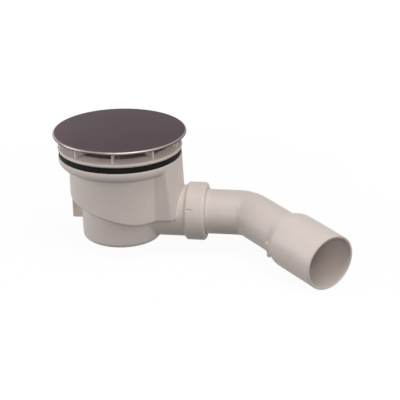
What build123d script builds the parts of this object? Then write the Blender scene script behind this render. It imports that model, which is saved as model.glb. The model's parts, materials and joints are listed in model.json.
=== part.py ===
from build123d import *
import os
from math import asin, cos, degrees, hypot, radians, sin, sqrt, tan

os.makedirs("parts", exist_ok=True)

# Shower trap in millimetres. Z is the trap's upright axis and X the outlet's direction.
# Height 0 is the tray seat, where the tray is clamped between flange washer and body seal.

# Fits
seat_gap = 0.2
slide_gap = 0.4
thread_gap = 0.3
seal_gap = 0.1

# Tray hole, and how far collar, seals and flange lie on the tray round it
tray_hole_r = 45.0
clamp_w = 10.0
seal_inset = 0.5
flange_overhang = 0.5
flange_washer_t = 1.6
body_seal_t = 4.2
seal_edge = 0.6

# Flange ring with its threaded skirt
flange_edge_h = 2.8
flange_edge_draw = 0.6
flange_edge_round = 1.0
crest_inset = 5.5
crest_w = 2.6
crest_h = 6.6
crest_round = 2.0
bowl_ramp_w = 2.9
bowl_depth = 3.0
bowl_round = 3.0
skirt_clearance = 2.4
skirt_wall = 2.4
dip_seat_depth = 8.0
dip_seat_t = 5.0
dip_seat_w = 6.0

# Steel cover cap and the ribbed carrier under it
cap_overhang = 3.8
cap_t = 1.0
cap_dome_r = 1200.0
cap_lip_h = 2.1
cap_edge_round = 1.8
carrier_inset = 5.3
carrier_t = 2.0
carrier_skirt = 1.0
inlet_slot_h = 4.9
rib_count = 9
rib_t = 1.8
rib_setback = 1.0
first_rib_deg = -86.0

# Trap body: collar, chamber, sump cup and rib
wall = 2.6
neck_wall = 3.1
collar_h = 10.1
collar_round = 8.0
thread_depth = 15.0
chamber_draft = 0.6
floor_rise = 3.9
floor_slope_deg = 14.0
floor_flat_x = 20.0
floor_bend_r = 30.0
floor_edge_round = 3.0
waterway_w = 9.0
sump_draft = 0.7
sump_edge_round = 4.5
weir_depth = 20.0
body_rib_drop = 10.7
body_rib_t = 2.6

# Outlet housing and spigot
outlet_z = -57.6
housing_margin = 2.3
housing_draw = 5.4
housing_edge_round = 1.6
spigot_wall = 2.5
spigot_root_round = 2.2
mouth_chamfer = 1.8

# Union nut and the two rings that it squeezes
nut_stand_off = 4.2
nut_len = 18.8
nut_wall = 2.8
nut_end_wall = 2.8
nut_start_chamfer = 2.2
nut_start_round = 0.8
nut_end_round = 3.0
notch_count = 6
notch_len = 7.0
notch_w = 2.2
notch_depth = 0.7
first_notch_deg = 66.0
slip_washer_t = 2.0
cone_seal_t = 3.2
cone_seal_edge = 0.4

# Outlet bend
pipe_r = 20.0
pipe_wall = 2.0
pipe_insert = 23.0
pipe_show = 36.6
bend_deg = 45.0
bend_r = 23.0
bend_turn_deg = 7.5
leg_len = 110.4
shoulder_start = 50.0
shoulder_len = 10.0
shoulder_round = 5.0
bell_r = 25.0
bell_edge_round = 0.6
stop_lug_proud = 1.4
stop_lug_rise = 2.0
stop_lug_drop = 12.5
stop_lug_offset = 2.0
stop_lug_t = 3.5

# Dip tube
dip_rim_t = 2.4
dip_rim_gap = 0.6
dip_neck_len = 6.5
dip_cone_len = 10.0
dip_cone_round = 3.0
dip_wall = 2.0
sump_way_w = 8.8
water_seal = 50.0
foot_clear = 10.2
ring_section_r = 0.9
ring_groove_play = 0.3
pull_bar_w = 4.0
pull_bar_h = 4.0
pull_tab_w = 18.0
pull_tab_h = 9.0
pull_tab_t = 2.6

# Broken edges of moulded pieces
edge_break = 0.3
soft_edge = 0.6

# Radii that follow from the tray hole
collar_r = tray_hole_r + clamp_w
seal_r = collar_r - seal_inset
flange_r = collar_r + flange_overhang
crest_r = flange_r - crest_inset
crest_in_r = crest_r - crest_w
bowl_step_r = crest_in_r - bowl_ramp_w
skirt_r = tray_hole_r - skirt_clearance
bowl_r = skirt_r - skirt_wall
dip_seat_bore_r = bowl_r - dip_seat_w
cap_r = flange_r + cap_overhang
carrier_r = cap_r - carrier_inset
rib_outer_r = carrier_r - rib_setback
collar_bore_r = skirt_r + thread_gap
chamber_top_r = collar_bore_r + neck_wall
chamber_foot_r = chamber_top_r - chamber_draft
sump_r = chamber_foot_r - waterway_w
sump_foot_r = sump_r - sump_draft
dip_tube_r = sump_r - wall - sump_way_w

# Radii and places along the outlet that follow from the pipe and the collar
spigot_bore_r = pipe_r + slide_gap
spigot_r = spigot_bore_r + spigot_wall
nut_bore_r = spigot_r + thread_gap
nut_r = nut_bore_r + nut_wall
housing_low_half = spigot_r + housing_margin
housing_top_half = housing_low_half + housing_draw
nut_start_x = collar_r + nut_stand_off
nut_end_x = nut_start_x + nut_len
nut_seat_x = nut_end_x - nut_end_wall
spigot_end_x = nut_seat_x - slip_washer_t - cone_seal_t
pipe_in_x = spigot_end_x - pipe_insert
bend_corner_x = nut_end_x + pipe_show

# Heights that follow from the tray seat
collar_top_z = -body_seal_t
collar_foot_z = collar_top_z - collar_h
skirt_foot_z = -dip_seat_depth - dip_seat_t
crest_z = flange_washer_t + crest_h
dip_foot_z = -weir_depth - water_seal
sump_floor_z = dip_foot_z - foot_clear - wall
floor_axis_z = outlet_z + floor_rise
floor_slope = tan(radians(floor_slope_deg))
floor_low_z = floor_axis_z - floor_slope * floor_flat_x
body_rib_foot_z = outlet_z - body_rib_drop
reach = 2 * collar_r


def dome_drop(r):
    """How far the cover's dome has fallen from its crown at radius r."""
    return cap_dome_r - sqrt(cap_dome_r * cap_dome_r - r * r)


carrier_foot_z = crest_z + inlet_slot_h
carrier_crown_z = carrier_foot_z + carrier_skirt + dome_drop(carrier_r - carrier_t) + carrier_t
cap_crown_z = carrier_crown_z + seat_gap + cap_t
cap_lip_z = cap_crown_z - dome_drop(cap_r) - cap_lip_h


def turned(*corners):
    """Solid turned about Z from a closed outline of corners (radius, height, rounding)."""
    points = [(r, z) for r, z, _ in corners]
    outline = FilletPolyline(*points, radius=[c[2] for c in corners], close=True)
    return revolve(Plane.XZ * make_face(outline), Axis.Z)


def along_outlet(solid):
    """Lays a solid turned about Z on the outlet's axis, with its heights as X places."""
    return Pos(0, 0, outlet_z) * Rot(0, 90, 0) * solid


def upright(r, z_low, z_high):
    """Round bar about Z between two heights."""
    return Pos(0, 0, z_low) * Cylinder(r, z_high - z_low, align=(Align.CENTER, Align.CENTER, Align.MIN))


def domed_disc(r, crown_z, foot_z, edge):
    """Disc with a shallow dome on top, a straight side down to foot_z and its top edge rounded."""
    span = degrees(asin(r / cap_dome_r))
    edge_z = crown_z - dome_drop(r)
    dome = CenterArc((0, crown_z - cap_dome_r), cap_dome_r, 90 - span, span)
    side = Polyline((r, edge_z), (r, foot_z), (0, foot_z), (0, crown_z))
    disc = revolve(Plane.XZ * make_face(dome + side), Axis.Z)
    rims = [e for e in disc.edges() if e.is_closed]
    return fillet(max(rims, key=lambda e: e.center().Z), edge)


def cover_cap():
    """Pressed cap: domed sheet with a rounded edge and a short lip turned down."""
    outside = domed_disc(cap_r, cap_crown_z, cap_lip_z, cap_edge_round)
    inside = domed_disc(cap_r - cap_t, cap_crown_z - cap_t, cap_lip_z, cap_edge_round - cap_t)
    return outside - inside


def cover_carrier():
    """Carrier shell under the cap, on radial ribs that stand on the flange's crest and locate in its bowl."""
    shell = domed_disc(carrier_r, carrier_crown_z, carrier_foot_z, carrier_t / 4)
    shell -= domed_disc(carrier_r - carrier_t, carrier_crown_z - carrier_t, carrier_foot_z, carrier_t / 4)
    rib_top_z = carrier_foot_z + carrier_t
    rib_in_r = bowl_step_r - bowl_ramp_w
    outline = Polyline(
        (rib_in_r, rib_top_z),
        (rib_outer_r, rib_top_z),
        (rib_outer_r, crest_z + seat_gap),
        (crest_in_r - seat_gap, crest_z + seat_gap),
        (bowl_step_r - seat_gap, crest_z - bowl_depth),
        (rib_in_r, crest_z - bowl_depth),
        close=True,
    )
    rib = extrude(Plane.XZ * make_face(outline), rib_t / 2, both=True)
    ribs = [Rot(0, 0, first_rib_deg + i * 360 / rib_count) * rib for i in range(rib_count)]
    return shell + ribs


def flange_ring():
    """Flange with a rounded crest outside, a bowl inside and a threaded skirt with the dip tube's seat."""
    low = flange_washer_t
    edge_r = flange_r - flange_edge_draw
    return turned(
        (dip_seat_bore_r, skirt_foot_z, edge_break),
        (skirt_r, skirt_foot_z, soft_edge),
        (skirt_r, low, 0),
        (edge_r, low, edge_break),
        (flange_r, low + flange_edge_h / 2, flange_edge_round),
        (edge_r, low + flange_edge_h, flange_edge_round),
        (crest_r, crest_z, crest_round),
        (crest_in_r, crest_z, flange_edge_round),
        (bowl_step_r, crest_z - bowl_depth, bowl_round),
        (bowl_r, -bowl_depth / 2, bowl_round / 2),
        (bowl_r, -dip_seat_depth, edge_break),
        (dip_seat_bore_r, -dip_seat_depth, edge_break),
    )


def flat_ring(inner_r, outer_r, low, high, edge):
    """Flat ring about Z with its outer edges rounded."""
    return turned((inner_r, low, 0), (outer_r, low, edge), (outer_r, high, edge), (inner_r, high, 0))


def below_floor(lift):
    """All that lies under the chamber's floor, which falls towards the outlet and then runs level."""
    low = floor_low_z + lift
    high = low + floor_slope * (floor_flat_x + reach)
    outline = FilletPolyline(
        (-reach, high),
        (floor_flat_x, low),
        (reach, low),
        (reach, -2 * reach),
        (-reach, -2 * reach),
        radius=[0, floor_bend_r, 0, 0, 0],
        close=True,
    )
    return extrude(Plane.XZ * make_face(outline), reach, both=True)


def chamber(inset, lift, top_z):
    """Chamber as a tapered drum on the sloping floor, drawn in by the wall where inset is given."""
    taper = (chamber_top_r - chamber_foot_r) / (collar_foot_z - sump_floor_z)
    drum = turned(
        (0, top_z, 0),
        (chamber_top_r - inset + taper * (top_z - collar_foot_z), top_z, 0),
        (chamber_foot_r - inset, sump_floor_z, 0),
        (0, sump_floor_z, 0),
    )
    return drum - below_floor(lift)


def sump_cup(inset, low_z, high_z, edge):
    """Sump cup's tapered drum from its floor up to the weir, with a rounded foot."""
    return turned(
        (0, low_z, 0),
        (sump_foot_r - inset, low_z, edge),
        (sump_r - inset, high_z, 0),
        (0, high_z, 0),
    )


def housing(inset, top_z, low_z):
    """Wedge over the outlet: side walls that draw in downwards, and an outer face round the trap's axis."""
    outline = Polyline(
        (-housing_top_half + inset, top_z),
        (housing_top_half - inset, top_z),
        (housing_low_half - inset, low_z),
        (-housing_low_half + inset, low_z),
        close=True,
    )
    wedge = extrude(Plane.YZ * make_face(outline), reach)
    return wedge & upright(collar_r - inset, low_z, top_z)


def outlet_outside():
    """Housing and spigot, with the housing's corners and the spigot's root rounded."""
    top_z = collar_top_z - collar_h / 2 + collar_round / 2
    box = housing(0, top_z, outlet_z)
    tall = [e for e in box.edges() if e.bounding_box().size.Z > (top_z - outlet_z) / 2]
    corners = [e for e in tall if e.center().X > wall]
    foot = [e for e in box.edges() if e.bounding_box().max.Z < outlet_z + seat_gap and e.center().X > wall]
    box = fillet(corners + foot, housing_edge_round)
    spigot = along_outlet(upright(spigot_r, 0, spigot_end_x))
    joined = box + spigot
    roots = []
    for edge in joined.edges():
        middle = edge.position_at(0.5)
        on_spigot = abs(hypot(middle.Y, middle.Z - outlet_z) - spigot_r) < seat_gap
        on_face = abs(hypot(middle.X, middle.Y) - collar_r) < seat_gap
        if on_spigot and on_face:
            roots.append(edge)
    return fillet(roots, spigot_root_round)


def trap_body():
    """Body moulding: outside of all its forms, less the waterways, with the sump cup's wall left standing."""
    collar = turned(
        (0, collar_top_z, 0),
        (collar_r, collar_top_z, soft_edge),
        (collar_r, collar_foot_z, collar_round),
        (0, collar_foot_z, 0),
    )
    drum = chamber(0, 0, collar_top_z)
    rim_edges = [e for e in drum.edges() if e.geom_type != GeomType.LINE and e.center().Z < outlet_z / 2]
    drum = fillet(rim_edges, floor_edge_round)
    cup = sump_cup(0, sump_floor_z, -weir_depth, sump_edge_round)
    rib_len = chamber_foot_r - sump_foot_r + wall
    rib_h = floor_axis_z + floor_slope * chamber_foot_r - body_rib_foot_z
    rib = Pos(-chamber_foot_r, 0, body_rib_foot_z) * Box(
        rib_len, body_rib_t, rib_h, align=(Align.MIN, Align.CENTER, Align.MIN)
    )
    outside = collar + drum + cup + rib + outlet_outside()
    waterway = chamber(wall, wall, -thread_depth)
    waterway += upright(collar_bore_r, -thread_depth, collar_top_z)
    waterway += housing(wall, collar_foot_z - wall, outlet_z)
    waterway += along_outlet(upright(spigot_bore_r, 0, spigot_end_x + wall))
    mouth = turned(
        (0, spigot_end_x - mouth_chamfer, 0),
        (spigot_bore_r, spigot_end_x - mouth_chamfer, 0),
        (spigot_bore_r + mouth_chamfer, spigot_end_x, 0),
        (0, spigot_end_x, 0),
    )
    waterway += along_outlet(mouth)
    waterway -= cup
    well = sump_cup(wall, sump_floor_z + wall, -weir_depth, sump_edge_round - wall / 2)
    return outside - waterway - well


def dip_tube():
    """Funnel rim on the flange's seat, a neck with a ring groove, a cone and a straight tube into the sump."""
    seat_z = -dip_seat_depth
    rim_r = bowl_r - dip_rim_gap
    neck_r = dip_seat_bore_r - slide_gap
    neck_z = seat_z - dip_neck_len
    cone_z = neck_z - dip_cone_len
    tube = turned(
        (rim_r, seat_z + dip_rim_t, soft_edge),
        (rim_r, seat_z, edge_break),
        (neck_r, seat_z, 0),
        (neck_r, neck_z, soft_edge),
        (dip_tube_r, cone_z, dip_cone_round),
        (dip_tube_r, dip_foot_z, soft_edge),
        (dip_tube_r - dip_wall, dip_foot_z, soft_edge),
        (dip_tube_r - dip_wall, cone_z, dip_cone_round),
        (neck_r - dip_wall - ring_section_r, neck_z, soft_edge),
        (neck_r - dip_wall - ring_section_r, seat_z, soft_edge),
    )
    groove_r = dip_seat_bore_r - seal_gap - 2 * ring_section_r - seal_gap
    half = ring_section_r + ring_groove_play
    tube -= flat_ring(groove_r, neck_r + dip_wall, ring_z() - half, ring_z() + half, 0)
    bar_len = 2 * (neck_r - dip_wall)
    bar = Pos(0, 0, seat_z) * Box(pull_bar_w, bar_len, pull_bar_h, align=(Align.CENTER, Align.CENTER, Align.MAX))
    tab = Pos(0, 0, seat_z) * Box(pull_tab_t, pull_tab_w, pull_tab_h, align=(Align.CENTER, Align.CENTER, Align.MIN))
    tab = fillet(tab.edges().filter_by(Axis.X).group_by(Axis.Z)[-1], pull_tab_h / 3)
    return tube + bar + tab


def ring_z():
    """Height of the dip tube's O-ring, halfway down the flange's seat."""
    return -dip_seat_depth - dip_seat_t / 2


def dip_tube_seal():
    """O-ring between the dip tube's groove and the seat's bore."""
    middle_r = dip_seat_bore_r - seal_gap - ring_section_r
    return Pos(0, 0, ring_z()) * Torus(middle_r, ring_section_r)


def outlet_nut():
    """Union nut: chamfered start, rounded end with a wall round the pipe, and shallow grip notches."""
    nut = turned(
        (nut_bore_r, nut_start_x, 0),
        (nut_r - nut_start_chamfer, nut_start_x, edge_break),
        (nut_r, nut_start_x + nut_start_chamfer, nut_start_round),
        (nut_r, nut_end_x, nut_end_round),
        (spigot_bore_r, nut_end_x, edge_break),
        (spigot_bore_r, nut_seat_x, 0),
        (nut_bore_r, nut_seat_x, 0),
    )
    cutter = Pos(-nut_r, 0, nut_start_x + nut_start_chamfer) * Box(
        2 * notch_depth, notch_w, notch_len, align=(Align.CENTER, Align.CENTER, Align.MIN)
    )
    step = 360 / notch_count
    notches = [Rot(0, 0, first_notch_deg + i * step) * cutter for i in range(notch_count)]
    return along_outlet(nut - notches)


def slip_washer():
    """Plain ring that lets the nut turn on the seal."""
    ring = flat_ring(pipe_r + seat_gap, nut_bore_r - seat_gap, nut_seat_x - slip_washer_t, nut_seat_x, edge_break)
    return along_outlet(ring)


def cone_seal():
    """Tapered rubber ring: its nose sits in the spigot's chamfered mouth, its back on the slip washer."""
    back_x = nut_seat_x - slip_washer_t
    face_x = spigot_end_x
    nose_x = face_x - mouth_chamfer + 2 * seal_gap
    inner_r = pipe_r + seal_gap
    ring = turned(
        (inner_r, nose_x, 0),
        (spigot_bore_r, nose_x, 0),
        (spigot_bore_r + mouth_chamfer - 2 * seal_gap, face_x, 0),
        (nut_bore_r - seat_gap, face_x, 0),
        (nut_bore_r - seat_gap, back_x, cone_seal_edge),
        (inner_r, back_x, 0),
    )
    return along_outlet(ring)


def outlet_bend():
    """Pipe from the spigot, a tight bend, then a leg that steps up to the outlet's larger end."""
    bore_r = pipe_r - pipe_wall
    tangent = bend_r * tan(radians(bend_deg / 2))
    start_x = bend_corner_x - tangent
    pipe = Rot(0, 90, 0) * flat_ring(bore_r, pipe_r, pipe_in_x, start_x, 0)
    bend_start = Plane((start_x, 0, 0), x_dir=(0, 1, 0), z_dir=(1, 0, 0))
    section = bend_start * (Circle(pipe_r) - Circle(bore_r))
    bend = revolve(section, Axis((start_x, -bend_r, 0), (0, 0, -1)), bend_deg)
    turn = radians(bend_deg)
    leg_frame = Plane((bend_corner_x, 0, 0), x_dir=(0, 0, 1), z_dir=(cos(turn), -sin(turn), 0))
    shoulder_end = shoulder_start + shoulder_len
    leg = turned(
        (bore_r, tangent, 0),
        (pipe_r, tangent, 0),
        (pipe_r, shoulder_start, shoulder_round),
        (bell_r, shoulder_end, shoulder_round),
        (bell_r, leg_len, bell_edge_round),
        (bell_r - pipe_wall, leg_len, bell_edge_round),
        (bell_r - pipe_wall, shoulder_end, shoulder_round),
        (bore_r, shoulder_start, shoulder_round),
    )
    middle_r = pipe_r - pipe_wall / 2
    wall_middle = turned(
        (0, tangent, 0),
        (middle_r, tangent, 0),
        (middle_r, shoulder_start, shoulder_round),
        (bell_r - pipe_wall / 2, shoulder_end, shoulder_round),
        (bell_r - pipe_wall / 2, leg_len, 0),
        (0, leg_len, 0),
    )
    lug_place = Pos(-stop_lug_drop, 0, shoulder_start + stop_lug_offset)
    lug_h = stop_lug_drop + stop_lug_rise
    lug = Box(lug_h, pipe_r + stop_lug_proud, stop_lug_t, align=(Align.MIN, Align.MIN, Align.MIN))
    stop = lug_place * lug - wall_middle
    whole = pipe + bend + leg_frame * (leg + stop)
    return Pos(0, 0, outlet_z) * Rot(bend_turn_deg, 0, 0) * whole


pieces = {
    "cover_cap": cover_cap(),
    "cover_carrier": cover_carrier(),
    "flange_ring": flange_ring(),
    "flange_washer": flat_ring(tray_hole_r, seal_r, 0, flange_washer_t, edge_break),
    "body_seal": flat_ring(tray_hole_r, seal_r, -body_seal_t, 0, seal_edge),
    "trap_body": trap_body(),
    "dip_tube": dip_tube(),
    "dip_tube_seal": dip_tube_seal(),
    "outlet_nut": outlet_nut(),
    "slip_washer": slip_washer(),
    "cone_seal": cone_seal(),
    "outlet_bend": outlet_bend(),
}
for name, solid in pieces.items():
    export_step(solid, f"parts/{name}.step")
    print(name, round(solid.volume, 1))
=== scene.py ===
# %% [markdown]
# # Dressing a shower trap
#
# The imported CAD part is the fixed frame: twelve pieces at their real size, with the trap's upright axis on
# Z and its outlet along X. This file gives those pieces their moulded skins, finishes, light and camera.
# Nearly every piece of a trap is turned or swept, so one outline carried round a circle or along a path
# makes most of them. The body is the exception, and it gets a method of its own.

# %% Load the frame
import json
import bpy
import numpy as np
from mathutils import Matrix, Vector


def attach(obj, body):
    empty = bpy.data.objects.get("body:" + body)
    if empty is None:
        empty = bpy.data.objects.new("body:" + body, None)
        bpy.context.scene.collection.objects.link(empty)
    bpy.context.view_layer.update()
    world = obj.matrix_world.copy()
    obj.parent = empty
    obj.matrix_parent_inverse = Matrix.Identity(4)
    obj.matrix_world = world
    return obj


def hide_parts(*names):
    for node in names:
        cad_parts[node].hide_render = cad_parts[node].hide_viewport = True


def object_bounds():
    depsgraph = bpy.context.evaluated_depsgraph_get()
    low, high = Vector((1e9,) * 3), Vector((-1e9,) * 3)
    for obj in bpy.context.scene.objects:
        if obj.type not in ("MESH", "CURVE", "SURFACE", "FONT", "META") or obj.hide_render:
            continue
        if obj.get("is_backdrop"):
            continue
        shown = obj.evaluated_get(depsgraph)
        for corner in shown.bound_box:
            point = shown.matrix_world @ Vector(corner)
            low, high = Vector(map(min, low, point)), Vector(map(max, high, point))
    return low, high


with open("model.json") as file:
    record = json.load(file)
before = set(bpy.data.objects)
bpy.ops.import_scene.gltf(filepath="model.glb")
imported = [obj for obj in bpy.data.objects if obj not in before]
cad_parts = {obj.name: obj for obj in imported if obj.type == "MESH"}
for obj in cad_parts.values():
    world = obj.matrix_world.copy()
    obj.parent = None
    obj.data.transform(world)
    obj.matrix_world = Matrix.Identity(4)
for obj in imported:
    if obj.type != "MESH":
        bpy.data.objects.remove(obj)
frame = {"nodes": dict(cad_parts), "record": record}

MM = 0.001
cad_low, cad_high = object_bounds()
print("CAD nodes:", sorted(frame["nodes"]))

# %% [markdown]
# ## Camera
#
# A camera can be set by eye or worked out. Here the ellipses of the cover, the nut and the outlet's mouth
# gave five numbers: where it stands round the trap, how high, how far, its small roll, and its focal length
# in pixels of a 400 pixel frame. The three camera axes follow from the angles.

# %% Camera
frame_px = 400
sensor_mm = 36.0
focal_px = 1507.4
camera_azimuth = np.radians(8.38)
camera_elevation = np.radians(22.28)
camera_roll = np.radians(0.87)
camera_distance = 1334.0
camera_slide = (70.42, -63.03)
aim_z = 16.7


def camera_matrix():
    """Axes from the angles: back points from the object to the camera, right lies level, and up is their
    cross product. The roll then turns right and up about back."""
    ca, sa = np.cos(camera_azimuth), np.sin(camera_azimuth)
    ce, se = np.cos(camera_elevation), np.sin(camera_elevation)
    back = np.array([sa * ce, -ca * ce, se])
    right = np.array([ca, sa, 0.0])
    up = np.cross(back, right)
    place = back * camera_distance + right * camera_slide[0] + up * camera_slide[1]
    place = (place + [0.0, 0.0, aim_z]) * MM
    cr, sr = np.cos(camera_roll), np.sin(camera_roll)
    matrix = np.eye(4)
    matrix[:3, 0] = cr * right - sr * up
    matrix[:3, 1] = sr * right + cr * up
    matrix[:3, 2] = back
    matrix[:3, 3] = place
    return Matrix(matrix.tolist())


lens = bpy.data.cameras.new("portrait_lens")
lens.sensor_width = sensor_mm
lens.lens = focal_px * sensor_mm / frame_px
lens.clip_end = 50.0
camera = bpy.data.objects.new("portrait_camera", lens)
camera.matrix_world = camera_matrix()
bpy.context.scene.collection.objects.link(camera)
bpy.context.scene.camera = camera
print("camera at", [round(v, 3) for v in camera.matrix_world.translation])

# %% [markdown]
# ## Floor and light
#
# White plastic shows its form only through soft changes of grey, so it is lit like a product on a white
# sheet: a broad lamp overhead, one at each side, one in front that also reaches into the outlet, and two
# weak ones, high at the front and low at the back. The floor is a dark grey to the light, so that it throws
# little of it back under the trap. Its glow towards the camera lifts it to white, a little less near the
# trap, where it keeps the shadow.

# %% Floor and backdrop
floor_half = 14.0
floor_grey = 0.06
floor_lift_near = 0.95
floor_lift_far = 1.0
floor_near_m = 0.15
floor_far_m = 0.75


def seen_directly(nodes, links):
    """1 for rays from the camera, from gloss or through glass, else 0: the largest of three outputs."""
    path = nodes.new("ShaderNodeLightPath")
    largest = path.outputs["Is Camera Ray"]
    for ray in ("Is Glossy Ray", "Is Transmission Ray"):
        either = nodes.new("ShaderNodeMath")
        either.operation = "MAXIMUM"
        links.new(largest, either.inputs[0])
        links.new(path.outputs[ray], either.inputs[1])
        largest = either.outputs[0]
    return largest


def floor_material():
    """Grey sheet whose glow, for direct rays only, grows with the distance from the trap's axis."""
    material = bpy.data.materials.new("white_sheet")
    material.use_nodes = True
    nodes, links = material.node_tree.nodes, material.node_tree.links
    shader = nodes["Principled BSDF"]
    shader.inputs["Base Color"].default_value = (floor_grey, floor_grey, floor_grey, 1)
    shader.inputs["Roughness"].default_value = 1.0
    shader.inputs["Specular IOR Level"].default_value = 0.0
    shader.inputs["Emission Strength"].default_value = 1.0
    place = nodes.new("ShaderNodeTexCoord")
    away = nodes.new("ShaderNodeVectorMath")
    away.operation = "LENGTH"
    links.new(place.outputs["Object"], away.inputs[0])
    lift = nodes.new("ShaderNodeMapRange")
    lift.interpolation_type = "SMOOTHSTEP"
    lift.inputs["From Min"].default_value = floor_near_m
    lift.inputs["From Max"].default_value = floor_far_m
    lift.inputs["To Min"].default_value = floor_lift_near
    lift.inputs["To Max"].default_value = floor_lift_far
    links.new(away.outputs["Value"], lift.inputs["Value"])
    glow = nodes.new("ShaderNodeMath")
    glow.operation = "MULTIPLY"
    links.new(seen_directly(nodes, links), glow.inputs[0])
    links.new(lift.outputs["Result"], glow.inputs[1])
    links.new(glow.outputs[0], shader.inputs["Emission Color"])
    return material


sheet_corners = np.array([[-1, -1, 0], [1, -1, 0], [1, 1, 0], [-1, 1, 0]]) * floor_half
sheet_corners[:, 2] = cad_low.z
sheet_mesh = bpy.data.meshes.new("white_sheet")
sheet_mesh.from_pydata(sheet_corners.tolist(), [], [[0, 1, 2, 3]])
white_sheet = bpy.data.objects.new("white_sheet", sheet_mesh)
white_sheet.data.materials.append(floor_material())
bpy.context.scene.collection.objects.link(white_sheet)
white_sheet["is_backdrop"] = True
print("floor at", round(cad_low.z, 4))

# %% Sky
sky_light = 0.08
sky_tint = (1.0, 0.955, 0.985, 1)


def light_sky():
    """Even soft sky for lighting, and plain white where it is seen directly or in gloss."""
    world = bpy.data.worlds.new("studio_sky")
    world.use_nodes = True
    bpy.context.scene.world = world
    nodes, links = world.node_tree.nodes, world.node_tree.links
    soft = nodes["Background"]
    soft.inputs["Color"].default_value = sky_tint
    soft.inputs["Strength"].default_value = sky_light
    white = nodes.new("ShaderNodeBackground")
    white.inputs["Color"].default_value = (1, 1, 1, 1)
    white.inputs["Strength"].default_value = 1.0
    either = nodes.new("ShaderNodeMixShader")
    links.new(seen_directly(nodes, links), either.inputs[0])
    links.new(soft.outputs[0], either.inputs[1])
    links.new(white.outputs[0], either.inputs[2])
    links.new(either.outputs[0], nodes["World Output"].inputs["Surface"])


light_sky()
bpy.context.scene.view_settings.view_transform = "Standard"

# %% Lamps
light_centre = Vector((0.07, 0.0, -0.03))
lamp_rows = [
    ("lamp_overhead", (0.25, -0.25, 1.15), 0.75, 6.5, (1.0, 0.985, 0.965)),
    ("lamp_high", (0.80, -0.80, 1.00), 0.6, 2.2, (1.0, 0.985, 0.955)),
    ("lamp_left", (-1.15, -0.25, 0.35), 0.8, 7.4, (1.0, 0.975, 0.985)),
    ("lamp_right", (1.30, -0.45, 0.40), 0.8, 4.0, (1.0, 0.98, 0.95)),
    ("lamp_front", (0.20, -1.50, 0.40), 0.9, 6.2, (1.0, 0.975, 0.985)),
    ("lamp_back", (-0.80, 1.10, 0.20), 0.8, 2.5, (1.0, 0.975, 0.985)),
]


def softbox(name, place, side, watts, colour):
    """Square area lamp that faces the trap and isn't seen by the camera."""
    lamp = bpy.data.lights.new(name, "AREA")
    lamp.size = side
    lamp.energy = watts
    lamp.color = colour
    box = bpy.data.objects.new(name, lamp)
    box.location = place
    box.rotation_euler = (light_centre - Vector(place)).to_track_quat("-Z", "Y").to_euler()
    box.visible_camera = False
    bpy.context.scene.collection.objects.link(box)


for row in lamp_rows:
    softbox(*row)
print("lamps:", [row[0] for row in lamp_rows])

# %% [markdown]
# ## Shared surface effects
#
# Moulded plastic, pressed steel and rubber differ in colour and gloss, but each of them varies a little
# over its surface. Two node groups hold that variation. The first gives a slow mottle, as of uneven cooling
# or handling; the second a fine grain for bump. Each material places them with its own scale.

# %% Node group: slow mottle
mottle_range = (0.3, 0.7)


def value_socket(tree, name, value, kind="INPUT"):
    """Number socket of a node group, which has a first value if it is an input."""
    socket = tree.interface.new_socket(name, in_out=kind, socket_type="NodeSocketFloat")
    if kind == "INPUT":
        socket.default_value = value
    return socket


def mottle_group():
    """Mask from 0 to 1: noise in object space, stretched so that its usual range fills 0 to 1."""
    tree = bpy.data.node_groups.new("slow_mottle", "ShaderNodeTree")
    value_socket(tree, "Scale", 40.0)
    value_socket(tree, "Detail", 3.0)
    value_socket(tree, "Mask", 0.0, "OUTPUT")
    nodes, links = tree.nodes, tree.links
    into, out = nodes.new("NodeGroupInput"), nodes.new("NodeGroupOutput")
    place = nodes.new("ShaderNodeTexCoord")
    noise = nodes.new("ShaderNodeTexNoise")
    spread = nodes.new("ShaderNodeMapRange")
    spread.inputs["From Min"].default_value = mottle_range[0]
    spread.inputs["From Max"].default_value = mottle_range[1]
    links.new(place.outputs["Object"], noise.inputs["Vector"])
    links.new(into.outputs["Scale"], noise.inputs["Scale"])
    links.new(into.outputs["Detail"], noise.inputs["Detail"])
    links.new(noise.outputs["Fac"], spread.inputs["Value"])
    links.new(spread.outputs["Result"], out.inputs["Mask"])
    return tree


# %% Node group: fine grain
def grain_group():
    """Height from 0 to 1: noise in object space, squeezed along each axis by its own factor, so that equal
    factors give moulded grain and one small factor gives brushed lines along that axis."""
    tree = bpy.data.node_groups.new("fine_grain", "ShaderNodeTree")
    stretch = tree.interface.new_socket("Stretch", in_out="INPUT", socket_type="NodeSocketVector")
    stretch.default_value = (1, 1, 1)
    value_socket(tree, "Scale", 1500.0)
    value_socket(tree, "Height", 0.0, "OUTPUT")
    nodes, links = tree.nodes, tree.links
    into, out = nodes.new("NodeGroupInput"), nodes.new("NodeGroupOutput")
    place = nodes.new("ShaderNodeTexCoord")
    squeeze = nodes.new("ShaderNodeVectorMath")
    squeeze.operation = "MULTIPLY"
    noise = nodes.new("ShaderNodeTexNoise")
    noise.inputs["Detail"].default_value = 2.0
    links.new(place.outputs["Object"], squeeze.inputs[0])
    links.new(into.outputs["Stretch"], squeeze.inputs[1])
    links.new(squeeze.outputs[0], noise.inputs["Vector"])
    links.new(into.outputs["Scale"], noise.inputs["Scale"])
    links.new(noise.outputs["Fac"], out.inputs["Height"])
    return tree


slow_mottle = mottle_group()
fine_grain = grain_group()
print("node groups:", slow_mottle.name, fine_grain.name)

# %% [markdown]
# ## Finishes
#
# One function wires every finish the same way: the mottle mixes two near colours, and the grain sets the
# roughness and the bump. What differs between plastic, steel and rubber is a row of numbers. Steel seen at
# a low angle would turn white, as any metal does, so its row also holds a darker tint for such angles.

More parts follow.
